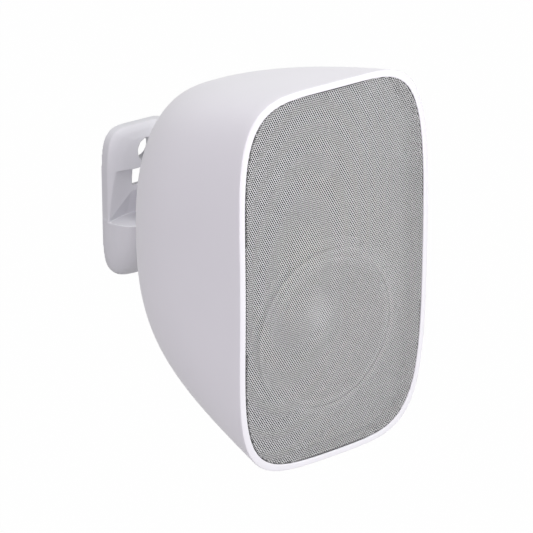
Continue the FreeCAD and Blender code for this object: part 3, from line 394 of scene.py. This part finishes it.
grilleSet = {
    "pitch": 1.654,
    "hole": 0.81,  # corner radius of a hole
    "sheet": 0.25,
    "setback": 0.5,
    "gap": 0.9,  # dark line between rim and sheet, dark because the skirt below is coloured black as painted shade
    "margin": 0.15,  # last holes to the sheet's edge
    "baffle": 16.0,  # crown of the front to the baffle's face
    # soft edge and skirt: inward from the sheet's edge, depth below the sheet, None on the baffle
    "edgeProfile": (
        (1.3, 0.36), (0.2, 0.36), (-0.435, 0.32), (-0.7395, 0.36), (-0.87, 0.61), (-0.87, 1.7),
        (0.0, 2.3), (0.0, None), (0.6, None), (0.6, 1.4), (1.3, 0.9),
    ),
    "seam": 0.2,  # share of a pitch, between two rows of holes
    "beyond": 1000.0,  # past every row
    "spare": 3.0,  # rows and columns more than the sheet needs
    "weld": 0.02,
}


def webTile(g):
    p, r = g["pitch"], g["hole"]
    row = p * math.sqrt(3) / 2
    angles = [math.radians(30 + 60 * k) for k in range(6)]
    corner = [(r * math.cos(a), r * math.sin(a)) for a in angles]
    build = bmesh.new()

    def at(shift, k, depth=0.0):
        x, y = corner[k % 6]
        return build.verts.new(((x + shift[0]) * mm, (y + shift[1]) * mm, depth * mm))

    here, east, up, upWest = (0, 0), (p, 0), (p / 2, row), (-p / 2, row)
    faces = (
        ((here, 5), (east, 3), (east, 2), (here, 0)),
        ((here, 0), (up, 4), (up, 3), (here, 1)),
        ((here, 1), (upWest, 5), (upWest, 4), (here, 2)),
        ((here, 0), (east, 2), (up, 4)),
        ((here, 1), (up, 3), (upWest, 5)),
    )
    for face in faces:
        build.faces.new([at(shift, k) for shift, k in face])
    for k in range(6):
        build.faces.new((at(here, k), at(here, k + 1), at(here, k + 1, g["sheet"]), at(here, k, g["sheet"])))
    bmesh.ops.remove_doubles(build, verts=build.verts, dist=weldReach)
    return bpy.data.objects.new("webTile", meshOf(build, "webTile"))


def mathNode(tree, operation, *values):
    node = tree.nodes.new("ShaderNodeMath")
    node.operation = operation
    for socket, value in zip(node.inputs, values):
        if isinstance(value, (int, float)):
            socket.default_value = value
        else:
            tree.links.new(value, socket)
    return node.outputs["Value"]


def grilleTree(g):
    tree = bpy.data.node_groups.new("punchedSheet", "GeometryNodeTree")
    face = tree.interface
    face.new_socket("Geometry", in_out="OUTPUT", socket_type="NodeSocketGeometry")
    names = ("Pitch", "Half Width", "Half Height", "Squareness", "Low Edge", "High Edge",
             "Bow Across", "Bow Along", "Crown", "Drop")
    sockets = {n: face.new_socket(n, in_out="INPUT", socket_type="NodeSocketFloat") for n in names}
    tile = face.new_socket("Tile", in_out="INPUT", socket_type="NodeSocketObject")
    paint = face.new_socket("Finish", in_out="INPUT", socket_type="NodeSocketMaterial")
    inp = tree.nodes.new("NodeGroupInput").outputs
    out = tree.nodes.new("NodeGroupOutput")

    def calc(operation, *values):
        return mathNode(tree, operation, *values)

    rowStep = calc("MULTIPLY", inp["Pitch"], math.sqrt(3) / 2)

    def count(half, step):
        return calc("ADD", calc("CEIL", calc("DIVIDE", calc("MULTIPLY", half, 2.0), step)), g["spare"])

    columns = count(inp["Half Width"], inp["Pitch"])
    rows = count(inp["Half Height"], rowStep)
    grid = tree.nodes.new("GeometryNodeMeshGrid")
    tree.links.new(calc("MULTIPLY", calc("SUBTRACT", columns, 1.0), inp["Pitch"]), grid.inputs["Size X"])
    tree.links.new(calc("MULTIPLY", calc("SUBTRACT", rows, 1.0), rowStep), grid.inputs["Size Y"])
    tree.links.new(columns, grid.inputs["Vertices X"])
    tree.links.new(rows, grid.inputs["Vertices Y"])

    points = tree.nodes.new("GeometryNodeMeshToPoints")
    tree.links.new(grid.outputs["Mesh"], points.inputs["Mesh"])

    index = tree.nodes.new("GeometryNodeInputIndex").outputs["Index"]
    odd = calc("MODULO", calc("MODULO", index, rows), 2.0)
    stagger = tree.nodes.new("ShaderNodeCombineXYZ")
    tree.links.new(calc("MULTIPLY", calc("MULTIPLY", odd, inp["Pitch"]), 0.5), stagger.inputs["X"])
    shift = tree.nodes.new("GeometryNodeSetPosition")
    tree.links.new(points.outputs["Points"], shift.inputs["Geometry"])
    tree.links.new(stagger.outputs["Vector"], shift.inputs["Offset"])

    place = tree.nodes.new("ShaderNodeSeparateXYZ")
    tree.links.new(tree.nodes.new("GeometryNodeInputPosition").outputs["Position"], place.inputs["Vector"])
    x, y = place.outputs["X"], place.outputs["Y"]
    acrossShare = calc("POWER", calc("DIVIDE", calc("ABSOLUTE", x), inp["Half Width"]), inp["Squareness"])
    alongShare = calc("POWER", calc("DIVIDE", calc("ABSOLUTE", y), inp["Half Height"]), inp["Squareness"])
    outside = calc("GREATER_THAN", calc("ADD", acrossShare, alongShare), 1.0)
    below = calc("LESS_THAN", y, inp["Low Edge"])
    above = calc("GREATER_THAN", y, inp["High Edge"])
    drop = calc("GREATER_THAN", calc("ADD", calc("ADD", outside, below), above), 0.5)
    trim = tree.nodes.new("GeometryNodeDeleteGeometry")
    trim.domain = "POINT"
    tree.links.new(shift.outputs["Geometry"], trim.inputs["Geometry"])
    tree.links.new(drop, trim.inputs["Selection"])

    tileInfo = tree.nodes.new("GeometryNodeObjectInfo")
    tree.links.new(inp["Tile"], tileInfo.inputs["Object"])
    copies = tree.nodes.new("GeometryNodeInstanceOnPoints")
    tree.links.new(trim.outputs["Geometry"], copies.inputs["Points"])
    tree.links.new(tileInfo.outputs["Geometry"], copies.inputs["Instance"])
    whole = tree.nodes.new("GeometryNodeRealizeInstances")
    tree.links.new(copies.outputs["Instances"], whole.inputs["Geometry"])
    weld = tree.nodes.new("GeometryNodeMergeByDistance")
    weld.inputs["Distance"].default_value = g["weld"] * mm
    tree.links.new(whole.outputs["Geometry"], weld.inputs["Geometry"])

    spot = tree.nodes.new("ShaderNodeSeparateXYZ")
    tree.links.new(tree.nodes.new("GeometryNodeInputPosition").outputs["Position"], spot.inputs["Vector"])
    x, y, depth = spot.outputs["X"], spot.outputs["Y"], spot.outputs["Z"]
    acrossSag = calc("SQRT", calc("SUBTRACT", calc("MULTIPLY", inp["Bow Across"], inp["Bow Across"]),
                                  calc("MULTIPLY", x, x)))
    ringReach = calc("ADD", calc("SUBTRACT", inp["Bow Along"], inp["Bow Across"]), acrossSag)
    bowReach = calc("SQRT", calc("SUBTRACT", calc("MULTIPLY", ringReach, ringReach), calc("MULTIPLY", y, y)))
    level = calc("ADD", inp["Crown"], calc("SUBTRACT", bowReach, inp["Bow Along"]))
    bent = tree.nodes.new("ShaderNodeCombineXYZ")
    tree.links.new(x, bent.inputs["X"])
    tree.links.new(calc("SUBTRACT", depth, level), bent.inputs["Y"])
    tree.links.new(calc("ADD", y, inp["Drop"]), bent.inputs["Z"])
    bend = tree.nodes.new("GeometryNodeSetPosition")
    tree.links.new(weld.outputs["Geometry"], bend.inputs["Geometry"])
    tree.links.new(bent.outputs["Vector"], bend.inputs["Position"])

    coat = tree.nodes.new("GeometryNodeSetMaterial")
    tree.links.new(bend.outputs["Geometry"], coat.inputs["Geometry"])
    tree.links.new(inp["Finish"], coat.inputs["Material"])
    tree.links.new(coat.outputs["Geometry"], out.inputs["Geometry"])
    sockets["Tile"] = tile
    sockets["Finish"] = paint
    return tree, {n: s.identifier for n, s in sockets.items()}


def makeGrille():
    g, c = grilleSet, cabinetSet
    tile = webTile(g)
    tree, ids = grilleTree(g)
    inset = c["wall"] + g["gap"]
    halfWidth, halfHeight = c["front"][0] - inset, c["front"][1] - inset
    values = {
        "Pitch": g["pitch"] * mm,
        "Half Width": (halfWidth - g["margin"]) * mm,
        "Half Height": (halfHeight - g["margin"]) * mm,
        "Squareness": c["squareFront"],
        "Bow Across": c["bowAcross"] * mm,
        "Bow Along": c["bowAlong"] * mm,
        "Crown": (c["gap"] + c["depth"] - g["setback"]) * mm,
        "Drop": c["drop"] * mm,
        "Tile": tile,
        "Finish": finishes["grilleWhite"],
    }
    seam = g["seam"] * g["pitch"] * mm
    beyond = g["beyond"] * mm
    for name, low, high in (("grilleLower", -beyond, seam), ("grilleUpper", seam, beyond)):
        carrier = addObject("punchCarrier", bpy.data.meshes.new("punchCarrier"))
        punch = carrier.modifiers.new("punched", "NODES")
        punch.node_group = tree
        for key, value in {**values, "Low Edge": low, "High Edge": high}.items():
            punch[ids[key]] = value
        mesh = plainMesh(carrier, name)
        bpy.data.objects.remove(carrier)
        newPiece(name, mesh, "grilleWhite", "speaker", "white_grille", "grille")
        print(name, len(mesh.polygons), "faces")
    bpy.data.objects.remove(tile)

    angles = ringAngles(c["around"])
    build = bmesh.new()
    foot = c["gap"] + c["depth"] - g["baffle"]
    footShare = (c["depth"] - foot + c["gap"] - c["land"]) / c["depth"]
    rings = []
    for inward, sink in g["edgeProfile"]:
        ring = []
        for a in angles:
            if sink is None:  # foot of the skirt, inside the tapering shell
                x, y, z = *sidePoint(footShare, a, inset + inward)[:2], foot
            else:
                x, y = ovalPoint(halfWidth - inward, halfHeight - inward, c["squareFront"], a)
                z = bowAt(x, y, g["setback"]) - sink
            ring.append(build.verts.new((x * mm, -z * mm, (y + c["drop"]) * mm)))
        rings.append(ring)
    for lower, upper in zip(rings, rings[1:] + rings[:1]):
        bridge(build, lower, upper)
    bmesh.ops.recalc_face_normals(build, faces=build.faces)
    mesh = meshOf(build, "grilleEdge")
    smoothAll(mesh)
    # skirt and backing strip coloured black: painted shade in the gap at the rim and behind the outer holes,
    # the grille sheet itself being white
    newPiece("grilleEdge", mesh, "blackMouldingAndPaintedShade", "speaker", "black_moulding", "grille")


makeGrille()
print("grille made")


# moulded and cast pieces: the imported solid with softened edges

softSet = {
    # the bracket's finish is a darker white, painted shade
    "wall_bracket": dict(piece="bracketBody", voxel=0.56, rounds=2, factor=0.5,
                         finish="bracketWhitePaintedShade", body="bracket", slot="white_mount",
                         notch=dict(low=-12.38, lowDepth=7.6, top=26.6, topDepth=11.3, far=60.0)),
    "swivel_arm": dict(piece="armCasting", voxel=0.5, rounds=6, factor=0.5,
                       finish="mountWhite", body="arm", slot="white_metal"),
}


def notchCutter(n):
    side = ((n["low"], n["lowDepth"]), (n["top"], n["topDepth"]), (n["top"], n["far"]), (n["low"], n["far"]))
    corners = [(x * mm, -depth * mm, z * mm) for x in (-n["far"], n["far"]) for z, depth in side]
    faces = [(0, 1, 2, 3), (7, 6, 5, 4)] + [(k, k + 4, (k + 1) % 4 + 4, (k + 1) % 4) for k in range(4)]
    build = bmesh.new()
    spots = [build.verts.new(c) for c in corners]
    for face in faces:
        build.faces.new([spots[k] for k in face])
    bmesh.ops.recalc_face_normals(build, faces=build.faces)
    return addObject("notchCutter", meshOf(build, "notchCutter"))


def makeSoft(node, p):
    work = addObject("softWork", meshOf(mergedCopy(node), p["piece"]))
    cutter = notchCutter(p["notch"]) if "notch" in p else None
    if cutter:
        carve = work.modifiers.new("carve", "BOOLEAN")
        carve.solver = "EXACT"
        carve.object = cutter
    remesh = work.modifiers.new("remesh", "REMESH")
    remesh.mode = "VOXEL"
    remesh.voxel_size = p["voxel"] * mm
    soften = work.modifiers.new("soften", "SMOOTH")
    soften.iterations = p["rounds"]
    soften.factor = p["factor"]
    done = plainMesh(work, p["piece"])
    bpy.data.objects.remove(work)
    if cutter:
        bpy.data.objects.remove(cutter)
    smoothAll(done)
    newPiece(p["piece"], done, p["finish"], p["body"], p["slot"], node)
    print(p["piece"], len(done.polygons), "faces")


for node, p in softSet.items():
    makeSoft(node, p)
print("soft pieces made:", len(softSet))


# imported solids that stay, with their finishes and smooth shading

sharpAngle = 32.0  # degrees, past which an edge stays sharp
keptFinishes = {
    "baffle": "blackMouldingAndPaintedShade", "baffle_screws": "screwBlack", "woofer_basket": "basketBlack",
    "woofer_cone": "conePulp", "woofer_dust_cap": "capSatin", "woofer_coil": "coilCopper",
    "woofer_surround": "rollRubber", "woofer_gasket": "rollRubber", "woofer_spider": "spiderCloth",
    "woofer_top_plate": "zincSteel", "woofer_magnet": "ferriteGrey", "woofer_pole_plate": "zincSteel",
    "woofer_screws": "screwBlack", "tweeter_screws": "screwBlack", "tweeter_faceplate": "blackMouldingAndPaintedShade",
    "tweeter_motor": "basketBlack", "tweeter_dome": "domeCloth", "tweeter_surround": "domeCloth",
    "crossover_board": "boardGreen", "crossover_screws": "zincSteel", "crossover_coils": "coilCopper",
    "crossover_capacitors": "sleeveBlue", "terminal_block": "blackMouldingAndPaintedShade",
    "mount_yoke": "mountWhite", "pan_washer": "nylonPale", "pan_bolt": "zincSteel",
    "pan_nut": "zincSteel", "tilt_washers": "nylonPale", "tilt_bolt": "zincSteel", "tilt_nut": "zincSteel",
}


def smoothTree(limit):
    tree = bpy.data.node_groups.new("softShade", "GeometryNodeTree")
    tree.interface.new_socket("Geometry", in_out="INPUT", socket_type="NodeSocketGeometry")
    angle = tree.interface.new_socket("Sharp Angle", in_out="INPUT", socket_type="NodeSocketFloat")
    angle.default_value = limit
    tree.interface.new_socket("Geometry", in_out="OUTPUT", socket_type="NodeSocketGeometry")
    inp = tree.nodes.new("NodeGroupInput").outputs
    out = tree.nodes.new("NodeGroupOutput")
    weld = tree.nodes.new("GeometryNodeMergeByDistance")
    weld.inputs["Distance"].default_value = weldReach
    tree.links.new(inp["Geometry"], weld.inputs["Geometry"])
    allSmooth = tree.nodes.new("GeometryNodeSetShadeSmooth")
    allSmooth.domain = "FACE"
    tree.links.new(weld.outputs["Geometry"], allSmooth.inputs["Geometry"])
    bendAngle = tree.nodes.new("GeometryNodeInputMeshEdgeAngle").outputs["Unsigned Angle"]
    sharp = tree.nodes.new("GeometryNodeSetShadeSmooth")
    sharp.domain = "EDGE"
    tree.links.new(allSmooth.outputs["Geometry"], sharp.inputs["Geometry"])
    tree.links.new(mathNode(tree, "GREATER_THAN", bendAngle, inp["Sharp Angle"]), sharp.inputs["Selection"])
    sharp.inputs["Shade Smooth"].default_value = False
    tree.links.new(sharp.outputs["Geometry"], out.inputs["Geometry"])
    return tree


shadeTree = smoothTree(math.radians(sharpAngle))
for name, finish in keptFinishes.items():
    solid = nodes[name]
    solid.data.materials.clear()
    solid.data.materials.append(finishes[finish])
    solid.modifiers.new("softShade", "NODES").node_group = shadeTree
print("solids finished:", len(keptFinishes))


# screws at the back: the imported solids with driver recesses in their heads

recessSet = {
    "yoke_screws": dict(piece="yokeScrewHeads", arms=2, reach=0.58, width=0.13, sink=1.2,
                        turn=25, nextTurn=40, finish="zincSteel", slot="steel"),
    "terminal_screws": dict(piece="terminalScrewHeads", arms=1, reach=1.2, width=0.16, sink=0.8,
                            turn=25, nextTurn=40, finish="terminalBrass", slot="terminal_brass"),
}


def looseBoxes(build):
    left = set(build.verts)
    boxes = []
    while left:
        stack = [left.pop()]
        spots = []
        while stack:
            vert = stack.pop()
            spots.append(vert.co.copy())
            for other in (edge.other_vert(vert) for edge in vert.link_edges):
                if other in left:
                    left.remove(other)
                    stack.append(other)
        boxes.append([(min(c[i] for c in spots), max(c[i] for c in spots)) for i in range(3)])
    return sorted(boxes)


def makeRecess(node, p):
    build = mergedCopy(node)
    boxes = looseBoxes(build)
    work = addObject("recessWork", meshOf(build, p["piece"]))

    build = bmesh.new()
    for k, (across, deep, along) in enumerate(boxes):
        radius = (across[1] - across[0]) / 2
        head = Vector((sum(across) / 2, deep[1], sum(along) / 2))
        for arm in range(p["arms"]):
            degrees = p["turn"] + p["nextTurn"] * k + 90 * arm
            turn = Matrix.Rotation(math.radians(degrees), 4, "Y")
            size = Matrix.Diagonal((2 * p["reach"] * radius, 2 * p["sink"] * mm, 2 * p["width"] * radius, 1))
            bmesh.ops.create_cube(build, size=1, matrix=Matrix.Translation(head) @ turn @ size)
    cutter = addObject("recessCutter", meshOf(build, "recessCutter"))

    carve = work.modifiers.new("carve", "BOOLEAN")
    carve.solver = "EXACT"
    carve.use_self = True
    carve.object = cutter
    work.modifiers.new("softShade", "NODES").node_group = shadeTree
    done = plainMesh(work, p["piece"])
    bpy.data.objects.remove(work)
    bpy.data.objects.remove(cutter)
    newPiece(p["piece"], done, p["finish"], "speaker", p["slot"], node)
    print(p["piece"], len(boxes), "heads", len(done.polygons), "faces")


for node, p in recessSet.items():
    makeRecess(node, p)
print("recessed screws made:", len(recessSet))


# floor, light and background

lightSet = {
    "floorLevel": -1300.0,
    "floorHalf": 9000.0,
    "floorPale": 0.32,
    "floorRough": 0.9,
    "floorWhite": 0.993,  # share of plain white that the camera sees
    "worldFront": 0.50,
    "worldBehind": 0.24,
    "aim": (0.0, -150.0, 10.0),
    "key": dict(place=(1350, -2300, -250), power=38.0, size=1.5, tint=(1.0, 1.0, 1.0)),
    "fill": dict(place=(-1400, -900, 300), power=11.6, size=1.0, tint=(0.985, 0.935, 1.0)),
    "top": dict(place=(300, -400, 1500), power=14.0, size=1.4, tint=(1.0, 1.0, 1.0)),
}


def seenRays(tree):
    path = tree.nodes.new("ShaderNodeLightPath").outputs
    return mathNode(tree, "MAXIMUM", path["Is Camera Ray"],
                    mathNode(tree, "MAXIMUM", path["Is Glossy Ray"], path["Is Transmission Ray"]))


def cameraWhite(tree, shaderOut, target, share):
    glow = tree.nodes.new("ShaderNodeEmission")
    glow.inputs["Color"].default_value = (1, 1, 1, 1)
    mix = tree.nodes.new("ShaderNodeMixShader")
    tree.links.new(mathNode(tree, "MULTIPLY", seenRays(tree), share), mix.inputs[0])
    tree.links.new(shaderOut, mix.inputs[1])
    tree.links.new(glow.outputs["Emission"], mix.inputs[2])
    tree.links.new(mix.outputs["Shader"], target)


def makeStage(s):
    h, z = s["floorHalf"] * mm, s["floorLevel"] * mm
    mesh = bpy.data.meshes.new("floor")
    mesh.from_pydata([(-h, -h, z), (h, -h, z), (h, h, z), (-h, h, z)], [], [(0, 1, 2, 3)])
    floor = addObject("floor", mesh)
    mat, tree, shader, _ = nodeTree("floorPale")
    shader.inputs["Base Color"].default_value = (*[s["floorPale"]] * 3, 1)
    shader.inputs["Roughness"].default_value = s["floorRough"]
    surface = tree.nodes["Material Output"].inputs["Surface"]
    cameraWhite(tree, shader.outputs["BSDF"], surface, s["floorWhite"])
    mesh.materials.append(mat)

    world = bpy.data.worlds.new("studio")
    bpy.context.scene.world = world
    world.use_nodes = True
    tree = world.node_tree
    back = tree.nodes["Background"]
    back.inputs["Color"].default_value = (1, 1, 1, 1)
    around = tree.nodes.new("ShaderNodeSeparateXYZ")
    tree.links.new(tree.nodes.new("ShaderNodeTexCoord").outputs["Generated"], around.inputs["Vector"])
    soft = tree.nodes.new("ShaderNodeMapRange")
    soft.inputs["From Min"].default_value = -1.0
    soft.inputs["To Min"].default_value = s["worldFront"]
    soft.inputs["To Max"].default_value = s["worldBehind"]
    tree.links.new(around.outputs["Y"], soft.inputs["Value"])
    level = mathNode(tree, "MAXIMUM", seenRays(tree), soft.outputs["Result"])
    tree.links.new(level, back.inputs["Strength"])

    target = Vector(s["aim"]) * mm
    for name in ("key", "fill", "top"):
        lamp = bpy.data.lights.new(name, "AREA")
        lamp.shape = "DISK"
        lamp.size = s[name]["size"]
        lamp.energy = s[name]["power"]
        lamp.color = s[name]["tint"]
        obj = addObject(name, lamp)
        obj.location = Vector(s[name]["place"]) * mm
        obj.rotation_mode = "QUATERNION"
        obj.rotation_quaternion = (target - obj.location).to_track_quat("-Z", "Y")


makeStage(lightSet)
bpy.context.scene.view_settings.view_transform = "Standard"
print("stage made")
